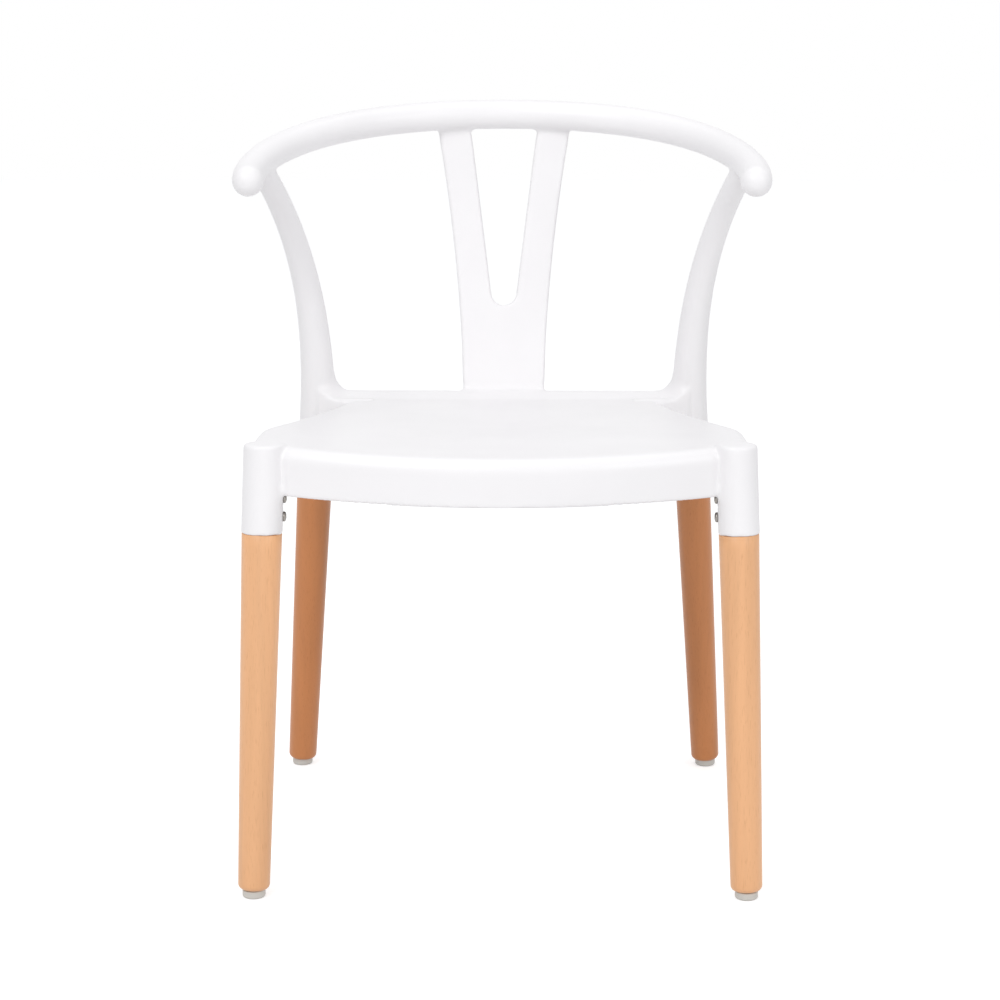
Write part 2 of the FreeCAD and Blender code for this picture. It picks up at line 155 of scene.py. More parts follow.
# Webs and concave sweeps between the seat and the rear sockets
WEB_DEPTH = 48.0
SWEEP_RADIUS = 24.0
SWEEP_ROOT = 3.5
SWEEP_SINK = 0.6

# Rail, with angles in degrees from its middle
RAIL_RADIUS = 16.0
RAIL_END_ANGLE = 96.0
RAIL_HALF_SPAN = 257.8
RAIL_SWEEP = 234.0
RAIL_DROP = 55.5
RAIL_MIDDLE_HEIGHT = OVERALL_HEIGHT - RAIL_RADIUS

# Posts
POST_START = 432.0
POST_TOP_WIDTH = 12.0
POST_TOP_DEPTH = 13.0
POST_JOINT_ANGLE = 79.0
POST_EARLY_LEAN = 0.15
POST_SPREAD_POWER = 2.3
POST_TAPER_POWER = 1.5

# Splat and its slot, with half widths and heights above the splat's foot
SPLAT_FOOT_Y = 190.0
SPLAT_BOW = 7.0
SPLAT_EDGE_ROUND = 2.6
SPLAT_FOOT_HALF = 45.0
SPLAT_WAIST_HALF = 46.5
SPLAT_WAIST_HEIGHT = 55.0
SPLAT_TOP_HALF = 76.0
SPLAT_HOLLOW = 16.0
SPLAT_OVERLAP = 4.0
SLOT_BOTTOM_ROUND = 14.0
SLOT_BOTTOM_HEIGHT = 110.5
SLOT_TOP_HALF = 38.5
SLOT_FLOOR_GAP = 0.05

# Fillets where parts of the shell meet: how far each reaches, and how full it is
POST_TOP_FILLET = (34, 1.0)
POST_TOP_FILLET_DROP = 12
SPLAT_TOP_FILLET = (16, 0.9)
SPLAT_TOP_FILLET_DROP = 14
SPLAT_FOOT_FILLET = (11, 0.7)
FRONT_SOCKET_FILLET = (26, 0.2)
FILLET_CORE = 1.6
FILLET_PULL = 0.6
FILLET_ROUNDS = 14
SMOOTHING_PULL = 0.5
SMOOTHING_PUSH = -0.53
SMOOTHING_ROUNDS = 3

# Studio, in metres, watts and degrees. A lamp has a name, a place, a size and a power.
FLOOR_CORNERS = ((-8, -6, 0), (8, -6, 0), (8, 10, 0), (-8, 10, 0))
FLOOR_GLOW = 0.5
SKY_COLOUR = (0.97, 0.98, 1.0, 1)
SKY_STRENGTH = 0.62
LAMP_AIM = Vector((0, 0, 0.45))
LAMPS = (
    ("key", (-1.3, -2.2, 2.6), 1.8, 32.0),
    ("fill", (1.9, -2.0, 1.7), 1.6, 14.0),
    ("front", (0.0, -3.4, 1.0), 2.2, 11.0),
    ("top", (0.0, 0.3, 2.9), 2.0, 12.0),
)
CAMERA_PLACE = (0.0227, -2.515, 0.861)
CAMERA_TILT = 11.36
CAMERA_TURN = 0.566
CAMERA_LENS = 88.45
CAMERA_SENSOR = 36.0

# Sockets of a Mix node that mixes colours
MIX_SHARE = 0
MIX_FIRST = 6
MIX_SECOND = 7
MIX_RESULT = 2


# Sizes and colours that a user would change
class ShellSizes(bpy.types.PropertyGroup):
    """Sizes of the moulded shell."""

    seat_height: bpy.props.FloatProperty(
        name="Seat height", description="Height of the seat's front corners", default=0.449, unit="LENGTH")
    lip_round: bpy.props.FloatProperty(
        name="Lip round", description="Radius of the seat's upper edge", default=0.013, unit="LENGTH")
    splat_thickness: bpy.props.FloatProperty(
        name="Splat thickness", description="Thickness of the back splat", default=0.009, unit="LENGTH")
    skin_step: bpy.props.FloatProperty(
        name="Skin step", description="Size of the faces of the moulded skin", default=0.002, unit="LENGTH")


class Finishes(bpy.types.PropertyGroup):
    """Colours of the chair's materials; the rear legs' wood is darkened with painted shade."""

    plastic: bpy.props.FloatVectorProperty(
        name="Plastic", description="Colour of the moulded shell", subtype="COLOR", size=4,
        default=(0.866, 0.852, 0.861, 1.0))
    front_wood: bpy.props.FloatVectorProperty(
        name="Front wood", description="Colour of the front legs", subtype="COLOR", size=4,
        default=(0.81, 0.435, 0.215, 1.0))
    # Rear legs: the front legs' beech darkened, as painted shade from the seat above them
    shaded_rear_wood: bpy.props.FloatVectorProperty(
        name="Rear wood", description="Colour of the rear legs", subtype="COLOR", size=4,
        default=(0.55, 0.205, 0.063, 1.0))
    glide: bpy.props.FloatVectorProperty(
        name="Glides", description="Colour of the plastic glides", subtype="COLOR", size=4,
        default=(0.62, 0.6, 0.56, 1.0))
    zinc: bpy.props.FloatVectorProperty(
        name="Zinc", description="Colour of the plated screws", subtype="COLOR", size=4,
        default=(0.3, 0.28, 0.26, 1.0))


# Lines of the chair, on its right-hand side
def eased(share):
    """A smooth step from 0 to 1."""
    held = min(1.0, max(0.0, share))
    return held * held * (3 - 2 * held)


def quarter_turn(steps):
    """Sine and cosine at even steps from 0 to 90 degrees."""
    turns = [math.radians(90 * i / steps) for i in range(steps + 1)]
    return [(math.sin(turn), math.cos(turn)) for turn in turns]


def leg_point(end, height):
    """The point of a leg's axis at a height."""
    foot = Vector((*FOOT[end], 0.0))
    mouth = Vector((*MOUTH[end], MOUTH_HEIGHT))
    return foot.lerp(mouth, height / MOUTH_HEIGHT)


def leg_direction(end):
    """Unit vector up a leg."""
    return (leg_point(end, MOUTH_HEIGHT) - leg_point(end, 0)).normalized()


def leg_matrix(end):
    """Places things drawn about Z, with the socket's mouth at the origin, on a leg's axis."""
    turn = UP.rotation_difference(leg_direction(end)).to_matrix().to_4x4()
    return Matrix.Translation(leg_point(end, MOUTH_HEIGHT)) @ turn


def seat_top(x, y, height):
    """Height of the seat's upper face, which slopes back, dips in front, is dished and rises at its rear."""
    front_y = SEAT_CORNERS[0][1]
    side_x = SEAT_CORNERS[1][0]
    back = (y - front_y) / (REAR_Y - front_y)
    across = min(1.0, abs(x) / side_x)
    top = height - SEAT_SLOPE * (y - front_y)
    top -= FRONT_DIP * (1 - across ** 2) * (1 - eased(back / FRONT_DIP_SHARE))
    top -= DISH_DEPTH * (1 - across ** 2) * math.sin(math.pi * min(1.0, max(0.0, back))) ** 2
    rise_end = REAR_Y - REAR_RIM
    return top + REAR_RISE * eased((y - rise_end + REAR_RISE_LENGTH) / REAR_RISE_LENGTH)


def apron_floor(x, y):
    """Height of the aprons' lower edge, which sags a little in the middle of the front."""
    middle = 1 - min(1.0, abs(x) / SEAT_CORNERS[0][0]) ** 2
    return APRON_BOTTOM - APRON_SAG * middle * eased((SEAT_CORNERS[1][1] - y) / APRON_SAG_FADE)


def rail_point(angle):
    """A point of the rail's centre line at an angle in degrees from its middle."""
    turn = math.radians(angle)
    share = angle / RAIL_END_ANGLE
    fall = RAIL_DROP * (share ** 2 + share ** 4 * (1 - share))
    return Vector((
        RAIL_HALF_SPAN * math.sin(turn),
        BACK_REACH - RAIL_RADIUS - RAIL_SWEEP * (1 - math.cos(turn)),
        RAIL_MIDDLE_HEIGHT - fall,
    ))


def post_point(share):
    """A point of a post's centre line, from its foot in the rear socket to the middle of the rail."""
    start = leg_point("rear", POST_START)
    end = rail_point(POST_JOINT_ANGLE)
    forward = POST_EARLY_LEAN * share + (1 - POST_EARLY_LEAN) * share ** 3
    return Vector((
        start.x + (end.x - start.x) * share ** POST_SPREAD_POWER,
        start.y + (end.y - start.y) * forward,
        start.z + (end.z - start.z) * share,
    ))


def splat_y(share):
    """How far back the splat's middle lies, from its foot to the rail."""
    top_y = BACK_REACH - RAIL_RADIUS
    return SPLAT_FOOT_Y + (top_y - SPLAT_FOOT_Y) * share + SPLAT_BOW * math.sin(math.pi * share)


# Mesh building
class Skin:
    """Collects corners in millimetres and faces for one mesh."""

    def __init__(self):
        self.corners = []
        self.faces = []

    def rings(self, rows):
        """Joins rows of points, each a loop of the same length, and caps both ends."""
        first = len(self.corners)
        count = len(rows[0])
        for row in rows:
            self.corners.extend(row)
        for r in range(len(rows) - 1):
            low = first + r * count
            high = low + count
            for i in range(count):
                j = (i + 1) % count
                self.faces.append((low + i, low + j, high + j, high + i))
        last = first + (len(rows) - 1) * count
        self.cap(range(first, first + count), rows[0], True)
        self.cap(range(last, last + count), rows[-1], False)

    def cap(self, loop, row, flip):
        """Closes a loop with a fan of triangles."""
        centre = len(self.corners)
        middle = sum((Vector(p) for p in row), Vector()) / len(row)
        self.corners.append(tuple(middle))
        for i, corner in enumerate(loop):
            after = loop[(i + 1) % len(loop)]
            self.faces.append((centre, after, corner) if flip else (centre, corner, after))

    def mirrored(self):
        """The same corners and faces on the other side of the chair."""
        other = Skin()
        other.corners = [(-p[0], p[1], p[2]) for p in self.corners]
        other.faces = [tuple(reversed(face)) for face in self.faces]
        return other

    def add(self, other):
        """Takes in the corners and faces of another skin."""
        shift = len(self.corners)
        self.corners += other.corners
        self.faces += [tuple(shift + i for i in face) for face in other.faces]

    def mesh(self, name):
        """The collected faces as a mesh in metres."""
        mesh = bpy.data.meshes.new(name)
        mesh.from_pydata([tuple(c * MM for c in p) for p in self.corners], [], self.faces)
        mesh.validate()
        mesh.update()
        return mesh


def add_piece(name, mesh):
    """Puts a mesh in the scene as a smooth piece that rides with the chair."""
    obj = bpy.data.objects.new(name, mesh)
    bpy.context.scene.collection.objects.link(obj)
    mesh.polygons.foreach_set("use_smooth", [True] * len(mesh.polygons))
    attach(obj, ROOT)
    return obj


def circle_row(centre, along, half_width, half_depth, count=48, across=(1, 0, 0)):
    """A loop of points round a centre line; its width lies along X, or along another direction."""
    along = along.normalized()
    across = Vector(across)
    across = (across - along * across.dot(along)).normalized()
    deep = along.cross(across)
    row = []
    for i in range(count):
        turn = 2 * math.pi * i / count
        row.append(tuple(centre + across * half_width * math.cos(turn) + deep * half_depth * math.sin(turn)))
    return row


def turned_row(end, height, radius, level):
    """A loop round a leg's axis; level 1 lays it flat, level 0 sets it square to the leg."""
    along = leg_direction(end).lerp(UP, level)
    return circle_row(leg_point(end, height), along, radius, radius)


# Seat
def seat_outline():
    """Points and outward directions along the seat's outline, anticlockwise from the middle of its front."""
    corner_x, corner_y, corner_round = SEAT_CORNERS[0]
    sag = corner_y + FRONT_REACH
    radius = (corner_x ** 2 + sag ** 2) / (2 * sag)
    centre_y = radius - FRONT_REACH
    end_turn = math.asin(corner_x / radius)
    arc_end = end_turn - corner_round * FRONT_ARC_GAP_SHARE / radius
    steps = 59
    path = []
    for i in range(steps + 1):
        turn = arc_end * i / steps
        path.append(Vector((radius * math.sin(turn), centre_y - radius * math.cos(turn))))
    points = [Vector((x, y)) for x, y, _ in SEAT_CORNERS] + [Vector((0, REAR_Y))]
    # Any length will do here: only the direction into the first corner counts
    before = points[0] - Vector((math.cos(end_turn), math.sin(end_turn))) * 50
    for i, (x, y, bend) in enumerate(SEAT_CORNERS):
        path += bend_points(before, points[i], points[i + 1], bend)
        before = points[i]
    path.append(points[-1])
    path += [Vector((-p.x, p.y)) for p in reversed(path[1:-1])]
    return even_points(path, OUTLINE_STEP)


def bend_points(before, corner, after, radius):
    """Points of the arc that rounds a corner."""
    into = (corner - before).normalized()
    out = (after - corner).normalized()
    turn = into.angle(out)
    trim = radius * math.tan(turn / 2)
    side = Vector((-into.y, into.x))
    centre = corner - into * trim + side * radius
    steps = 16
    points = []
    for i in range(steps + 1):
        swing = turn * i / steps
        spoke = (-side) * math.cos(swing) + into * math.sin(swing)
        points.append(centre + spoke * radius)
    return points


def even_points(path, step):
    """Evenly spaced points along a closed path, with the outward direction at each."""
    closed = np.array([tuple(p) for p in path] + [tuple(path[0])])
    lengths = np.hypot(*np.diff(closed, axis=0).T)
    keep = np.concatenate([[True], lengths > 1e-6])
    closed = closed[keep]
    along = np.concatenate([[0], np.cumsum(np.hypot(*np.diff(closed, axis=0).T))])
    count = int(along[-1] / step)
    at = np.linspace(0, along[-1], count, endpoint=False)
    x = np.interp(at, along, closed[:, 0])
    y = np.interp(at, along, closed[:, 1])
    tangent = np.stack([np.roll(x, -1) - np.roll(x, 1), np.roll(y, -1) - np.roll(y, 1)], axis=1)
    tangent /= np.linalg.norm(tangent, axis=1)[:, None]
    return np.stack([x, y], axis=1), np.stack([tangent[:, 1], -tangent[:, 0]], axis=1)


def seat_skin(skin, height, lip):
    """The seat: upper face, rounded lip, aprons and the hollow underneath."""
    points, outward = seat_outline()
    middle = np.array([0.0, SEAT_MIDDLE_Y])
    rows = []

    def level(inset, scale, drop):
        """Adds a loop below the upper face, shrunk towards the seat's middle."""
        loop = points - outward * inset
        loop = middle + (loop - middle) * scale
        rows.append([(x, y, seat_top(x, y, height) - drop) for x, y in loop])

    def low_level(inset, rise):
        """Adds a loop above the aprons' lower edge."""
        loop = points - outward * inset
        rows.append([(x, y, apron_floor(x, y) + rise) for x, y in loop])

    def lip_level(inset, drop):
        """Adds a loop of the lip, below the upper face where the lip begins."""
        loop = points - outward * inset
        lip_loop = points - outward * lip
        rows.append([
            (x, y, seat_top(lip_x, lip_y, height) - drop) for (x, y), (lip_x, lip_y) in zip(loop, lip_loop)
        ])

    for i in range(1, PANEL_RINGS + 1):
        level(lip, i / PANEL_RINGS, 0)
    for sine, cosine in quarter_turn(8)[1:]:
        lip_level(lip * (1 - sine), lip * (1 - cosine))
    top_row = rows[-1]
    steps = 13
    for i in range(1, steps):
        share = i / steps
        rows.append([(x, y, z + (apron_floor(x, y) + EDGE_ROUND - z) * share) for x, y, z in top_row])
    for sine, cosine in quarter_turn(3):
        low_level(EDGE_ROUND * (1 - cosine), EDGE_ROUND * (1 - sine))
    for sine, cosine in quarter_turn(3):
        low_level(APRON_WALL - EDGE_ROUND * (1 - sine), EDGE_ROUND * (1 - cosine))
    low_row = rows[-1]
    level(APRON_WALL, 1, PANEL + lip * UNDER_LIP_SHARE)
    high_row = rows.pop()
    steps = 8
    for i in range(1, steps + 1):
        share = i / steps
        rows.append([
            (x, y, z + (upper[2] - z) * share) for (x, y, z), upper in zip(low_row, high_row)
        ])
    for i in range(PANEL_RINGS, 0, -1):
        level(lip, i / PANEL_RINGS, PANEL)
    skin.rings(rows)


def ribs_skin(skin, height, lip):
    """The grid of thin ribs under the seat, following the panel and the rounded lip above them."""
    points, outward = seat_outline()
    inner = points - outward * (APRON_WALL - RIB_END_ROOT)
    for axis in (0, 1):
        for k in range(-3, 4):
            at = k * RIB_PITCH
            cross = crossings(inner[:, axis] - at, inner[:, 1 - axis])
            if len(cross) < 2:
                continue
            rows = []
            steps = 48
            for i in range(steps + 1):
                along = cross.min() + (cross.max() - cross.min()) * i / steps
                x, y = (at, along) if axis == 0 else (along, at)
                inset = min(lip, np.hypot(*(points - (x, y)).T).min())
                fall = lip - math.sqrt(lip ** 2 - (lip - inset) ** 2)
                top = seat_top(x, y, height) - PANEL + RIB_ROOT - fall
                rows.append(rib_row(x, y, axis, top))
            skin.rings(rows)


def rib_row(x, y, axis, top):
    """The four corners of a rib where it is cut across; axis 0 is for a rib that runs from front to back."""
    low = APRON_BOTTOM + RIB_RISE
    if axis == 0:
        return [(x - RIB_HALF, y, top), (x + RIB_HALF, y, top), (x + RIB_HALF, y, low), (x - RIB_HALF, y, low)]
    return [(x, y + RIB_HALF, top), (x, y - RIB_HALF, top), (x, y - RIB_HALF, low), (x, y + RIB_HALF, low)]


def crossings(level, value):
    """The values where a closed line's level passes through zero."""
    after = np.roll(level, -1)
    through = (level < 0) != (after < 0)
    share = level[through] / (level[through] - after[through])
    return value[through] + (np.roll(value, -1)[through] - value[through]) * share


# Sockets, posts and rail
def socket_rows(end, top):
    """Loops of a socket: down its bore, round its rim and up its outside."""
    bore_top = MOUTH_HEIGHT + BORE_LENGTH * leg_direction(end).z
    rows = [turned_row(end, bore_top, BORE * share, 0) for share in (0.3, 0.7, 1.0)]
    steps = 12
    for i in range(1, steps + 1):
        rows.append(turned_row(end, bore_top - (bore_top - MOUTH_HEIGHT) * i / steps, BORE, 0))
    rows.append(turned_row(end, MOUTH_HEIGHT, SOCKET - MOUTH_CHAMFER, 0))
    steps = 16
    for i in range(steps + 1):
        share = i / steps
        height = MOUTH_HEIGHT + MOUTH_CHAMFER + (top - MOUTH_HEIGHT - MOUTH_CHAMFER) * share
        level = share if end == "front" else 0
        rows.append(turned_row(end, height, SOCKET - SOCKET_DRAFT * share, level))
    return rows


def front_socket_skin(skin, height):
    """A front socket with its flat, slightly rounded top."""
    top = height + FRONT_TOP_PROUD
    rows = socket_rows("front", top - FRONT_TOP_ROUND)
    for sine, cosine in quarter_turn(5)[1:]:
        radius = SOCKET - SOCKET_DRAFT - FRONT_TOP_ROUND * (1 - cosine)
        rows.append(turned_row("front", top - FRONT_TOP_ROUND * (1 - sine), radius, 1))
    for share in (0.7, 0.4):
        rows.append(turned_row("front", top, SOCKET * share, 1))
    skin.rings(rows)


def post_skin(skin):
    """A rear socket with the bowed post that grows out of it."""
    rows = socket_rows("rear", POST_START)
    near = 0.01
    steps = 60
    for i in range(1, steps + 1):
        share = i / steps
        along = post_point(share + near) - post_point(share - near)
        taper = (1 - share) ** POST_TAPER_POWER
        width = POST_TOP_WIDTH + (SOCKET - SOCKET_DRAFT - POST_TOP_WIDTH) * taper
        depth = POST_TOP_DEPTH + (SOCKET - SOCKET_DRAFT - POST_TOP_DEPTH) * taper
        rows.append(circle_row(post_point(share), along, width, depth))
    skin.rings(rows)


def rail_skin(skin):
    """The bent top rail with its rounded ends."""
    half = []
    near = 0.5
    steps = 96
    for i in range(steps + 1):
        angle = RAIL_END_ANGLE * i / steps
        along = (rail_point(angle + near) - rail_point(angle - near)).normalized()
        half.append((rail_point(angle), along, RAIL_RADIUS))
    end, along, _ = half[-1]
    for sine, cosine in quarter_turn(12)[1:-1]:
        half.append((end + along * RAIL_RADIUS * sine, along, RAIL_RADIUS * cosine))
    rows = []
    for centre, along, radius in reversed(half[1:]):
        centre = Vector((-centre.x, centre.y, centre.z))
        along = Vector((along.x, -along.y, -along.z))
        rows.append(circle_row(centre, along, radius, radius, across=UP))
    for centre, along, radius in half:
        rows.append(circle_row(centre, along, radius, radius, across=UP))
    skin.rings(rows)


# Splat and rear corners
def splat_skin(skin, height, thickness):
    """One half of the Y-shaped splat with its slot, which overlaps the other half below the slot."""
    foot_z = seat_top(0, REAR_Y, height) - PANEL
    top_z = RAIL_MIDDLE_HEIGHT
    centre_z = foot_z + SLOT_BOTTOM_HEIGHT
    lean = math.atan2(SLOT_TOP_HALF - SLOT_BOTTOM_ROUND, top_z - centre_z)
    tangent_z = centre_z - SLOT_BOTTOM_ROUND * math.sin(lean)
    slot_floor = centre_z - SLOT_BOTTOM_ROUND
    levels = list(np.linspace(foot_z, slot_floor - SLOT_FLOOR_GAP, 24))
    turns = np.linspace(0.02, math.pi / 2 - lean, 16)
    levels += [centre_z - SLOT_BOTTOM_ROUND * math.cos(turn) for turn in turns]
    levels += list(np.linspace(tangent_z, top_z, 60)[1:])
    rows = []
    for z in levels:
        if z <= slot_floor:
            inner = -SPLAT_OVERLAP
        elif z <= tangent_z:
            inner = math.sqrt(max(0.0, SLOT_BOTTOM_ROUND ** 2 - (centre_z - z) ** 2))
        else:
            low_x = SLOT_BOTTOM_ROUND * math.cos(lean)
            inner = low_x + (SLOT_TOP_HALF - low_x) * (z - tangent_z) / (top_z - tangent_z)
        y = splat_y((z - foot_z) / (top_z - foot_z))
        rows.append(plate_row(inner, splat_half_width(z, foot_z), y, z, thickness))
    skin.rings(rows)


def splat_half_width(z, foot_z):
    """Half the splat's width: nearly even up to its waist, and spreading in a hollow curve above."""
    waist_z = foot_z + SPLAT_WAIST_HEIGHT
    rise = (z - waist_z) / (RAIL_MIDDLE_HEIGHT - waist_z)
    if rise < 0:
        return SPLAT_FOOT_HALF + (SPLAT_WAIST_HALF - SPLAT_FOOT_HALF) * (z - foot_z) / SPLAT_WAIST_HEIGHT
    spread = (SPLAT_TOP_HALF - SPLAT_WAIST_HALF) * rise
    return SPLAT_WAIST_HALF + spread - SPLAT_HOLLOW * rise * (1 - rise)


def plate_row(inner, outer, y, z, thickness):
    """A loop round a flat bar with rounded edges."""
    edge = SPLAT_EDGE_ROUND
    half = thickness / 2
    corners = ((outer - edge, half - edge, 0), (inner + edge, half - edge, 90),
               (inner + edge, edge - half, 180), (outer - edge, edge - half, 270))
    row = []
    for x, dy, start in corners:
        for i in range(7):
            turn = math.radians(start + 15 * i)
            row.append((x + edge * math.cos(turn), y + dy + edge * math.sin(turn), z))
    return row


def web_front(x, height):
    """How far forward the web between the seat and a rear socket comes."""
    axis = leg_point("rear", height)
    tip_y = REAR_Y - WEB_DEPTH
    bend_x, bend_y, _ = SEAT_CORNERS[2]
    tip_x = bend_x + (SEAT_CORNERS[3][0] - bend_x) * (tip_y - bend_y) / (REAR_Y - bend_y)
    share = max(0.0, (x - tip_x) / (axis.x - tip_x))
    return tip_y + (axis.y - SOCKET - tip_y) * share


def rear_corner_skin(skin, height, lip):
    """The web between the seat's rear corner and a rear socket."""
    axis_x = leg_point("rear", height).x
    inner_x = SEAT_CORNERS[3][0] - lip
    inside_y = REAR_Y - APRON_WALL
    lip_y = REAR_Y - lip
    steps = 16
    deep = 4
    rows = []
    for i in range(steps + 1):
        x = inner_x + (axis_x - inner_x) * i / steps
        top = seat_top(x, lip_y, height)
        front_y = web_front(x, height)
        row = [
            (x, front_y + APRON_WALL, APRON_BOTTOM), (x, front_y + APRON_WALL, top - PANEL),
            (x, inside_y, top - PANEL - lip / 2), (x, inside_y, APRON_BOTTOM), (x, REAR_Y, APRON_BOTTOM),
        ]
        for sine, cosine in quarter_turn(8):
            row.append((x, lip_y + lip * cosine, top - lip + lip * sine))
        for j in range(1, deep + 1):
            y = lip_y + (front_y - REAR_Y + lip) * j / deep
            row.append((x, y, seat_top(x, y, height)))
        row.append((x, front_y, APRON_BOTTOM))
        rows.append(row[::-1])
    skin.rings(rows)


def sweep_skin(skin, height, lip):
    """The concave sweep from the web up to a post, with sides that lean with the leg."""
    axis = leg_point("rear", height)
    lean = leg_direction("rear") / leg_direction("rear").z
    inner = SOCKET - SWEEP_ROOT
    across = 32
    deep = 12
    rows = []
    for k in range(deep + 1):
        low = []
        top = []
        for i in range(across + 1):
            x = axis.x - (inner + SWEEP_RADIUS) * (1 - i / across)
            front_y = web_front(x, height)
            y = front_y + (REAR_Y - lip - front_y) * k / deep
            gap = min(SWEEP_RADIUS, max(0.0, math.hypot(x - axis.x, y - axis.y) - inner))
            fall = math.sqrt(SWEEP_RADIUS ** 2 - (SWEEP_RADIUS - gap) ** 2)
            seat = seat_top(x, y, height) - SWEEP_SINK
            z = seat + SWEEP_RADIUS - fall
            low.append((x, y, seat - PANEL))
            top.append((x + lean.x * (z - height), y + lean.y * (z - height), z))
        rows.append((low + top[::-1])[::-1])
    skin.rings(rows)


def pad_skin(skin, end, level):
    """A flat pad for a screw's head on the inboard side of a socket."""
    placed = leg_matrix(end)
    start = placed @ Vector((-SOCKET + PAD_ROOT, 0, level))
    finish = placed @ Vector((-SOCKET - PAD_PROUD, 0, level))
    along = finish - start
    rows = [circle_row(start.lerp(finish, share), along, PAD, PAD, 32) for share in (0, 0.5, 1)]
    skin.rings(rows)


# Moulding: one skin over all the parts of the shell, with its inner corners filled
def moulded(skin, step):
    """One continuous skin over overlapping parts."""
    raw = bpy.data.objects.new("shell_parts", skin.mesh("shell_parts"))
    bpy.context.scene.collection.objects.link(raw)
    remesh = raw.modifiers.new("skin", "REMESH")
    remesh.mode = "VOXEL"
    remesh.voxel_size = step
    bpy.context.view_layer.update()
    graph = bpy.context.evaluated_depsgraph_get()
    mesh = bpy.data.meshes.new_from_object(raw.evaluated_get(graph))
    bpy.data.objects.remove(raw)
    return mesh


def joint_spots(height):
    """Places where parts of the shell meet: a point, how far the fillet reaches, and how full it is."""
    spots = []
    joint = rail_point(POST_JOINT_ANGLE)
    socket = leg_point("front", height)
    splat_top_z = RAIL_MIDDLE_HEIGHT - SPLAT_TOP_FILLET_DROP
    for sign in SIDES.values():
        spots.append(((sign * joint.x, joint.y, joint.z - POST_TOP_FILLET_DROP), *POST_TOP_FILLET))
        for x in (SLOT_TOP_HALF, SPLAT_TOP_HALF):
            spots.append(((sign * x, splat_y(1.0), splat_top_z), *SPLAT_TOP_FILLET))
        spots.append(((sign * socket.x, socket.y, socket.z), *FRONT_SOCKET_FILLET))
    steps = 6
    for i in range(steps + 1):
        x = -SPLAT_FOOT_HALF + 2 * SPLAT_FOOT_HALF * i / steps
        spots.append(((x, SPLAT_FOOT_Y, seat_top(0, REAR_Y, height)), *SPLAT_FOOT_FILLET))
    return spots


def fill_corners(mesh, spots):
    """Relaxes the skin: a little everywhere, and much more round the places where parts meet."""
    count = len(mesh.vertices)
    flat = np.empty(count * 3)
    mesh.vertices.foreach_get("co", flat)
    at = flat.reshape(-1, 3)
    ends = np.empty(len(mesh.edges) * 2, dtype=np.int64)
    mesh.edges.foreach_get("vertices", ends)
    one, two = ends.reshape(-1, 2).T
    links = np.bincount(one, minlength=count) + np.bincount(two, minlength=count)
    weight = np.zeros(count)
    for spot, reach, amount in spots:
        away = np.linalg.norm(at - np.array(spot) * MM, axis=1) / (reach * MM)
        weight = np.maximum(weight, amount * np.clip(FILLET_CORE * (1 - away), 0, 1))

    def relaxed(points, amount):
        """Moves each point by an amount towards the mean of its neighbours."""
        total = np.zeros_like(points)
        for k in range(3):
            total[:, k] = np.bincount(one, points[two, k], count) + np.bincount(two, points[one, k], count)
        return points + amount * (total / links[:, None] - points)

    for _ in range(SMOOTHING_ROUNDS):
        at = relaxed(at, SMOOTHING_PULL)
        at = relaxed(at, SMOOTHING_PUSH)
    for _ in range(FILLET_ROUNDS):
        at = relaxed(at, weight[:, None] * FILLET_PULL)
    mesh.vertices.foreach_set("co", at.reshape(-1))
    mesh.update()


def joined(mesh, other):
    """Two meshes in one."""
    work = bmesh.new()
    work.from_mesh(mesh)
    work.from_mesh(other)
    work.to_mesh(mesh)
    work.free()
    return mesh


# Legs, glides and screws
def leg_mesh(end, sign):
    """A leg: sawn and rounded foot, taper, shoulder and tenon."""
    placed = leg_matrix(end)
    around = 64
    rows = []
    for radius, z in leg_profile(end):
        row = []
        for i in range(around):
            turn = 2 * math.pi * i / around
            point = placed @ Vector((radius * math.cos(turn), radius * math.sin(turn), z))
            row.append((point.x, point.y, max(point.z, GLIDE_HEIGHT)))
        rows.append(row)
    skin = Skin()
    skin.rings(rows)
    if sign < 0:
        skin = skin.mirrored()
    return skin.mesh(f"{end}_leg")


def leg_profile(end):
    """Radius and height along a leg, from the middle of its foot to the end of its tenon."""
    length = (leg_point(end, MOUTH_HEIGHT) - leg_point(end, GLIDE_HEIGHT)).length
    profile = [(LEG_FOOT * share, -length) for share in (0.25, 0.45)]
    for sine, cosine in quarter_turn(8):
        profile.append((LEG_FOOT - LEG_FOOT_ROUND * (1 - sine), -length + LEG_FOOT_ROUND * (1 - cosine)))
    steps = 24
    for i in range(1, steps + 1):
        z = (-length + LEG_FOOT_ROUND) * (1 - i / steps)
        radius = LEG_FOOT + (LEG_TOP - LEG_FOOT) * (1 + z / length)
        profile.append((radius, z if i < steps else -LEG_TOP_ROUND))
    profile += [(LEG_TOP - LEG_TOP_ROUND, 0), (TENON, 0)]
    profile += [(TENON, TENON_LENGTH - TENON_CHAMFER), (TENON - TENON_CHAMFER, TENON_LENGTH)]
    return profile


def glide_mesh(end, sign):
    """A glide: a round button with both rims rounded."""
    centre = leg_point(end, GLIDE_HEIGHT)
    rows = []
    for radius, z in glide_profile():
        rows.append(circle_row(Vector((sign * centre.x, centre.y, z)), UP, radius, radius))
    skin = Skin()
    skin.rings(rows)
    return skin.mesh("glide")


def glide_profile():
    """Radius and height along a glide, from the middle of its sole to the middle of its top."""
    upper_round = GLIDE_ROUND / 2
    profile = [(GLIDE * share, 0.0) for share in (0.3, 0.6)]
    for sine, cosine in quarter_turn(6):
        profile.append((GLIDE - GLIDE_ROUND * (1 - sine), GLIDE_ROUND * (1 - cosine)))
    for sine, cosine in quarter_turn(6):
        profile.append((GLIDE - upper_round * (1 - cosine), GLIDE_HEIGHT - upper_round * (1 - sine)))
    profile.append((GLIDE * 0.5, GLIDE_HEIGHT))
    return profile


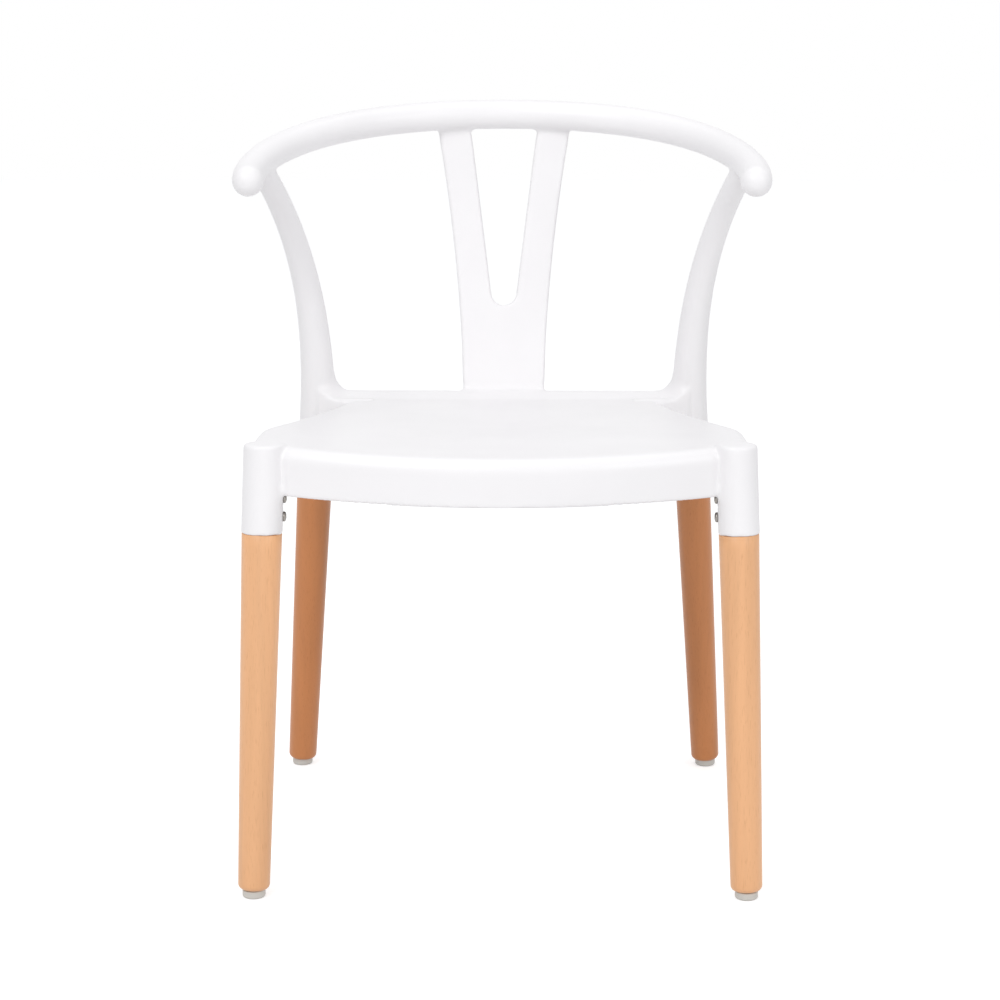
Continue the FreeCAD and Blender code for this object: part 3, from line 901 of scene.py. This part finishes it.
def screw_skin(skin, end, height):
    """A screw with a domed head and a hexagonal key recess, its head on a socket's pad."""
    seat = Matrix.Translation(Vector((-SOCKET - PAD_PROUD, 0, height)))
    placed = leg_matrix(end) @ (seat @ Matrix.Rotation(-math.pi / 2, 4, "Y"))
    around = 48
    rows = []
    for radius, z in screw_profile():
        rows.append(screw_row(placed, z, [radius] * around))
    hexagon = []
    for i in range(around):
        swing = math.radians((360 * i / around) % 60 - 30)
        hexagon.append(KEY / math.cos(swing))
    top = SCREW_HEAD_HEIGHT
    bottom = top - KEY_DEPTH
    for z, factor in ((top, 1.05), (top - KEY_CHAMFER, 1.0), (bottom, 1.0), (bottom, 0.4)):
        rows.append(screw_row(placed, z, [r * factor for r in hexagon]))
    skin.rings(rows)


def screw_profile():
    """Radius and height along a screw, from the middle of its tip to the crown of its head."""
    dome = SCREW_HEAD_HEIGHT - SCREW_HEAD_RIM
    crown = math.radians(SCREW_CROWN_ANGLE)
    profile = [
        (SCREW_TIP_CENTRE, -SCREW_LENGTH), (SCREW_TIP, -SCREW_LENGTH),
        (SCREW_SHANK, SCREW_TIP_CHAMFER - SCREW_LENGTH), (SCREW_SHANK, 0.0),
        (SCREW_HEAD - SCREW_HEAD_CHAMFER, 0.0), (SCREW_HEAD, 0.3), (SCREW_HEAD, SCREW_HEAD_RIM),
    ]
    steps = 6
    for i in range(1, steps + 1):
        turn = crown * i / steps
        inward = (SCREW_HEAD - SCREW_CROWN) * (1 - math.cos(turn)) / (1 - math.cos(crown))
        profile.append((SCREW_HEAD - inward, SCREW_HEAD_RIM + dome * math.sin(turn) / math.sin(crown)))
    return profile


def screw_row(placed, z, radii):
    """A loop of a screw, with a radius for each of its points."""
    row = []
    for i, radius in enumerate(radii):
        turn = 2 * math.pi * i / len(radii)
        row.append(tuple(placed @ Vector((radius * math.cos(turn), radius * math.sin(turn), z))))
    return row


# Materials
class Recipe:
    """A material made of shader nodes."""

    def __init__(self, name):
        self.material = bpy.data.materials.new(name)
        self.material.use_nodes = True
        self.tree = self.material.node_tree
        self.shader = self.tree.nodes["Principled BSDF"]

    def node(self, kind, **values):
        """Adds a node and sets its inputs by name."""
        node = self.tree.nodes.new(kind)
        for name, value in values.items():
            node.inputs[name.replace("_", " ")].default_value = value
        return node

    def link(self, source, output, target, name):
        """Joins an output to an input."""
        self.tree.links.new(source.outputs[output], target.inputs[name])

    def place(self, scale):
        """Object coordinates, stretched by a scale along each axis."""
        where = self.node("ShaderNodeTexCoord")
        mapping = self.node("ShaderNodeMapping", Scale=scale)
        self.link(where, "Object", mapping, "Vector")
        return mapping

    def noise(self, scale, size, detail, roughness=0.55):
        """A noise over object coordinates."""
        noise = self.node("ShaderNodeTexNoise", Scale=size, Detail=detail, Roughness=roughness)
        self.link(self.place(scale), "Vector", noise, "Vector")
        return noise

    def ramp(self, noise, stops):
        """A colour ramp over a noise."""
        ramp = self.node("ShaderNodeValToRGB")
        elements = ramp.color_ramp.elements
        while len(elements) < len(stops):
            elements.new(0.5)
        for element, (position, colour) in zip(elements, stops):
            element.position = position
            element.color = colour
        self.link(noise, "Fac", ramp, "Fac")
        return ramp

    def gloss(self, noise, low, high):
        """Lets the roughness run between two values over a noise."""
        ramp = self.ramp(noise, [(0.3, (low,) * 3 + (1.0,)), (0.7, (high,) * 3 + (1.0,))])
        self.link(ramp, "Color", self.shader, "Roughness")

    def bump(self, noise, strength, distance):
        """Raises the surface by a noise."""
        bump = self.node("ShaderNodeBump", Strength=strength, Distance=distance)
        self.link(noise, "Fac", bump, "Height")
        self.link(bump, "Normal", self.shader, "Normal")


def shade(colour, factor):
    """A colour made lighter or darker."""
    return tuple(min(1.0, c * factor) for c in colour[:3]) + (1.0,)


def plastic_material(name, colour, roughness, grain):
    """Satin moulded plastic, a little uneven in tone and gloss."""
    recipe = Recipe(name)
    cloud = recipe.noise((1, 1, 1), 9.0, 2.0)
    tone = recipe.ramp(cloud, [(0.3, shade(colour, 0.975)), (0.7, shade(colour, 1.01))])
    recipe.link(tone, "Color", recipe.shader, "Base Color")
    fine = recipe.noise((1, 1, 1), grain, 3.0)
    recipe.gloss(fine, roughness - 0.04, roughness + 0.05)
    recipe.bump(fine, strength=0.08, distance=0.0002)
    recipe.shader.inputs["IOR"].default_value = 1.49
    return recipe.material


def beech_material(name, colour):
    """Lacquered beech: soft growth bands and short dark flecks along the leg."""
    recipe = Recipe(name)
    bands = recipe.noise((38, 38, 1.6), 1.0, 5.0, 0.6)
    tone = recipe.ramp(bands, [
        (0.32, shade(colour, 0.9)), (0.5, colour), (0.68, shade(colour, 1.08)),
    ])
    flecks = recipe.noise((1300, 1300, 80), 1.0, 1.0, 0.4)
    marks = recipe.ramp(flecks, [(0.6, (1, 1, 1, 1)), (0.72, (0.84, 0.78, 0.72, 1))])
    mix = recipe.node("ShaderNodeMix")
    mix.data_type = "RGBA"
    mix.blend_type = "MULTIPLY"
    mix.inputs[MIX_SHARE].default_value = 0.55
    recipe.link(tone, "Color", mix, MIX_FIRST)
    recipe.link(marks, "Color", mix, MIX_SECOND)
    recipe.link(mix, MIX_RESULT, recipe.shader, "Base Color")
    recipe.shader.inputs["Roughness"].default_value = 0.42
    recipe.shader.inputs["Coat Weight"].default_value = 0.15
    recipe.shader.inputs["Coat Roughness"].default_value = 0.3
    recipe.bump(bands, strength=0.1, distance=0.0003)
    return recipe.material


def metal_material(name, colour, roughness):
    """Plated or plain metal with fine uneven gloss."""
    recipe = Recipe(name)
    cloud = recipe.noise((1, 1, 1), 400.0, 3.0)
    tone = recipe.ramp(cloud, [(0.3, shade(colour, 0.88)), (0.7, shade(colour, 1.05))])
    recipe.link(tone, "Color", recipe.shader, "Base Color")
    recipe.gloss(cloud, roughness - 0.07, roughness + 0.07)
    recipe.shader.inputs["Metallic"].default_value = 1.0
    return recipe.material


def paint(node, material):
    """Gives all of a node's material slots one material."""
    for slot in node.material_slots:
        slot.material = material


# Studio
def seen_directly(tree, path):
    """1 for rays from the camera and for mirror rays, 0 for the light that falls on the chair."""
    first = tree.nodes.new("ShaderNodeMath")
    first.operation = "MAXIMUM"
    tree.links.new(path.outputs["Is Camera Ray"], first.inputs[0])
    tree.links.new(path.outputs["Is Glossy Ray"], first.inputs[1])
    second = tree.nodes.new("ShaderNodeMath")
    second.operation = "MAXIMUM"
    tree.links.new(first.outputs[0], second.inputs[0])
    tree.links.new(path.outputs["Is Transmission Ray"], second.inputs[1])
    return second.outputs[0]


def paper_material():
    """Matt white paper that shows the chair's shadow and is white to the camera elsewhere."""
    recipe = Recipe("white_paper")
    grain = recipe.noise((1, 1, 1), 60.0, 2.0)
    tone = recipe.ramp(grain, [(0.3, (0.79, 0.79, 0.79, 1)), (0.7, (0.81, 0.81, 0.81, 1))])
    recipe.link(tone, "Color", recipe.shader, "Base Color")
    recipe.shader.inputs["Roughness"].default_value = 0.9
    recipe.shader.inputs["Specular IOR Level"].default_value = 0.1
    glow = recipe.node("ShaderNodeEmission", Color=(1, 1, 1, 1), Strength=FLOOR_GLOW)
    path = recipe.node("ShaderNodeLightPath")
    dark = recipe.node("ShaderNodeEmission", Color=(0, 0, 0, 1), Strength=0.0)
    choose = recipe.node("ShaderNodeMixShader")
    recipe.tree.links.new(seen_directly(recipe.tree, path), choose.inputs[0])
    recipe.link(dark, 0, choose, 1)
    recipe.link(glow, 0, choose, 2)
    total = recipe.node("ShaderNodeAddShader")
    recipe.link(recipe.shader, 0, total, 0)
    recipe.link(choose, 0, total, 1)
    recipe.link(total, 0, recipe.tree.nodes["Material Output"], "Surface")
    return recipe.material


def lay_floor(scene):
    """Lays the paper floor."""
    floor_mesh = bpy.data.meshes.new("studio_floor")
    floor_mesh.from_pydata(FLOOR_CORNERS, [], [(0, 1, 2, 3)])
    floor = bpy.data.objects.new("studio_floor", floor_mesh)
    scene.collection.objects.link(floor)
    floor_mesh.materials.append(paper_material())


def studio_world():
    """White all round for the camera, and an even soft light for the chair."""
    world = bpy.data.worlds.new("studio")
    world.use_nodes = True
    tree = world.node_tree
    tree.nodes.clear()
    path = tree.nodes.new("ShaderNodeLightPath")
    light = tree.nodes.new("ShaderNodeBackground")
    light.inputs["Color"].default_value = SKY_COLOUR
    light.inputs["Strength"].default_value = SKY_STRENGTH
    white = tree.nodes.new("ShaderNodeBackground")
    white.inputs["Color"].default_value = (1, 1, 1, 1)
    white.inputs["Strength"].default_value = 1.0
    choose = tree.nodes.new("ShaderNodeMixShader")
    output = tree.nodes.new("ShaderNodeOutputWorld")
    tree.links.new(seen_directly(tree, path), choose.inputs[0])
    tree.links.new(light.outputs[0], choose.inputs[1])
    tree.links.new(white.outputs[0], choose.inputs[2])
    tree.links.new(choose.outputs[0], output.inputs["Surface"])
    return world


def hang_lamps(scene):
    """Hangs the soft lamps, all aimed at the chair's seat."""
    for name, place, size, watts in LAMPS:
        light = bpy.data.lights.new(name, "AREA")
        light.size = size
        light.energy = watts
        lamp = bpy.data.objects.new(name, light)
        lamp.location = place
        aim = LAMP_AIM - lamp.location
        lamp.rotation_euler = aim.to_track_quat("-Z", "Y").to_euler()
        scene.collection.objects.link(lamp)


def place_camera(scene):
    """Places the camera in front of the chair, looking a little down."""
    camera = bpy.data.cameras.new("front_view")
    camera.lens = CAMERA_LENS
    camera.sensor_width = CAMERA_SENSOR
    eye = bpy.data.objects.new("front_view", camera)
    eye.location = CAMERA_PLACE
    eye.rotation_euler = (math.radians(90 - CAMERA_TILT), 0, math.radians(CAMERA_TURN))
    scene.collection.objects.link(eye)
    scene.camera = eye


# Operators
class CHAIR_OT_mould_shell(bpy.types.Operator):
    """Build the one-piece shell: seat, sockets, posts, rail and splat under one skin"""

    bl_idname = "chair.mould_shell"
    bl_label = "Mould Shell"

    def execute(self, context):
        sizes = context.scene.chair_shell
        height = sizes.seat_height / MM
        lip = sizes.lip_round / MM
        parts = Skin()
        front_socket_skin(parts, height)
        post_skin(parts)
        rear_corner_skin(parts, height, lip)
        sweep_skin(parts, height, lip)
        splat_skin(parts, height, sizes.splat_thickness / MM)
        for end in ENDS:
            for level in SCREW_HEIGHTS.values():
                pad_skin(parts, end, level)
        parts.add(parts.mirrored())
        seat_skin(parts, height, lip)
        rail_skin(parts)
        mesh = moulded(parts, sizes.skin_step)
        fill_corners(mesh, joint_spots(height))
        ribs = Skin()
        ribs_skin(ribs, height, lip)
        mesh = joined(mesh, ribs.mesh("ribs"))
        obj = add_piece("shell", mesh)
        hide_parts("moulded_shell")
        plastic = context.scene.chair_finishes.plastic
        obj.data.materials.append(plastic_material("white_plastic", plastic, 0.36, 1400.0))
        return {"FINISHED"}


class CHAIR_OT_turn_legs(bpy.types.Operator):
    """Build the four turned legs with their tenons"""

    bl_idname = "chair.turn_legs"
    bl_label = "Turn Legs"

    def execute(self, context):
        colours = context.scene.chair_finishes
        for end in ENDS:
            # The rear legs take the darker beech, which is painted shade from the seat above them
            colour = colours.front_wood if end == "front" else colours.shaded_rear_wood
            material = beech_material(f"{end}_beech", colour)
            for side, sign in SIDES.items():
                obj = add_piece(f"{end}_{side}_turned_leg", leg_mesh(end, sign))
                obj.data.materials.append(material)
                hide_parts(f"{end}_{side}_leg")
        return {"FINISHED"}


class CHAIR_OT_fit_glides(bpy.types.Operator):
    """Build the round plastic glides under the legs"""

    bl_idname = "chair.fit_glides"
    bl_label = "Fit Glides"

    def execute(self, context):
        material = plastic_material("glide_plastic", context.scene.chair_finishes.glide, 0.45, 900.0)
        for end in ENDS:
            for side, sign in SIDES.items():
                obj = add_piece(f"{end}_{side}_button_glide", glide_mesh(end, sign))
                obj.data.materials.append(material)
                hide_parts(f"{end}_{side}_glide")
        return {"FINISHED"}


class CHAIR_OT_fit_screws(bpy.types.Operator):
    """Build the button-head screws on the inboard sides of the sockets"""

    bl_idname = "chair.fit_screws"
    bl_label = "Fit Screws"

    def execute(self, context):
        material = metal_material("plated_screw", context.scene.chair_finishes.zinc, 0.3)
        for end in ENDS:
            for level, height in SCREW_HEIGHTS.items():
                skin = Skin()
                screw_skin(skin, end, height)
                skin.add(skin.mirrored())
                obj = add_piece(f"{end}_{level}_screws", skin.mesh("screws"))
                obj.data.materials.append(material)
                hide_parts(f"{end}_{level}_bolts")
        return {"FINISHED"}


class CHAIR_OT_finish_hardware(bpy.types.Operator):
    """Give the hidden inserts and nails their metals"""

    bl_idname = "chair.finish_hardware"
    bl_label = "Finish Hidden Hardware"

    def execute(self, context):
        brass = metal_material("insert_brass", (0.6, 0.44, 0.2, 1.0), 0.35)
        steel = metal_material("nail_steel", (0.5, 0.5, 0.5, 1.0), 0.35)
        for name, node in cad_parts.items():
            if name.endswith("inserts"):
                paint(node, brass)
            elif name.endswith("nail"):
                paint(node, steel)
        return {"FINISHED"}


class CHAIR_OT_light_studio(bpy.types.Operator):
    """Lay the pale floor, hang the soft lamps and set up the camera"""

    bl_idname = "chair.light_studio"
    bl_label = "Light Studio"

    def execute(self, context):
        scene = context.scene
        scene.view_settings.view_transform = "Standard"
        lay_floor(scene)
        scene.world = studio_world()
        hang_lamps(scene)
        place_camera(scene)
        return {"FINISHED"}


class CHAIR_PT_pieces(bpy.types.Panel):
    """Sizes, colours and pieces of the chair"""

    bl_idname = "CHAIR_PT_pieces"
    bl_label = "Moulded Dining Chair"
    bl_space_type = "VIEW_3D"
    bl_region_type = "UI"
    bl_category = "Chair"

    def draw(self, context):
        layout = self.layout
        for group in (context.scene.chair_shell, context.scene.chair_finishes):
            for name in group.__annotations__:
                layout.prop(group, name)
        for operator in STEPS:
            layout.operator(operator.bl_idname)


STEPS = (
    CHAIR_OT_mould_shell,
    CHAIR_OT_turn_legs,
    CHAIR_OT_fit_glides,
    CHAIR_OT_fit_screws,
    CHAIR_OT_finish_hardware,
    CHAIR_OT_light_studio,
)
CLASSES = (ShellSizes, Finishes) + STEPS + (CHAIR_PT_pieces,)


def register():
    """Adds the chair's classes and settings."""
    for item in CLASSES:
        bpy.utils.register_class(item)
    bpy.types.Scene.chair_shell = bpy.props.PointerProperty(type=ShellSizes)
    bpy.types.Scene.chair_finishes = bpy.props.PointerProperty(type=Finishes)


def unregister():
    """Removes the chair's classes and settings."""
    del bpy.types.Scene.chair_finishes
    del bpy.types.Scene.chair_shell
    for item in reversed(CLASSES):
        bpy.utils.unregister_class(item)


def main():
    """Builds the whole chair and its studio."""
    register()
    bpy.ops.chair.mould_shell()
    bpy.ops.chair.turn_legs()
    bpy.ops.chair.fit_glides()
    bpy.ops.chair.fit_screws()
    bpy.ops.chair.finish_hardware()
    bpy.ops.chair.light_studio()


if __name__ == "__main__":
    main()
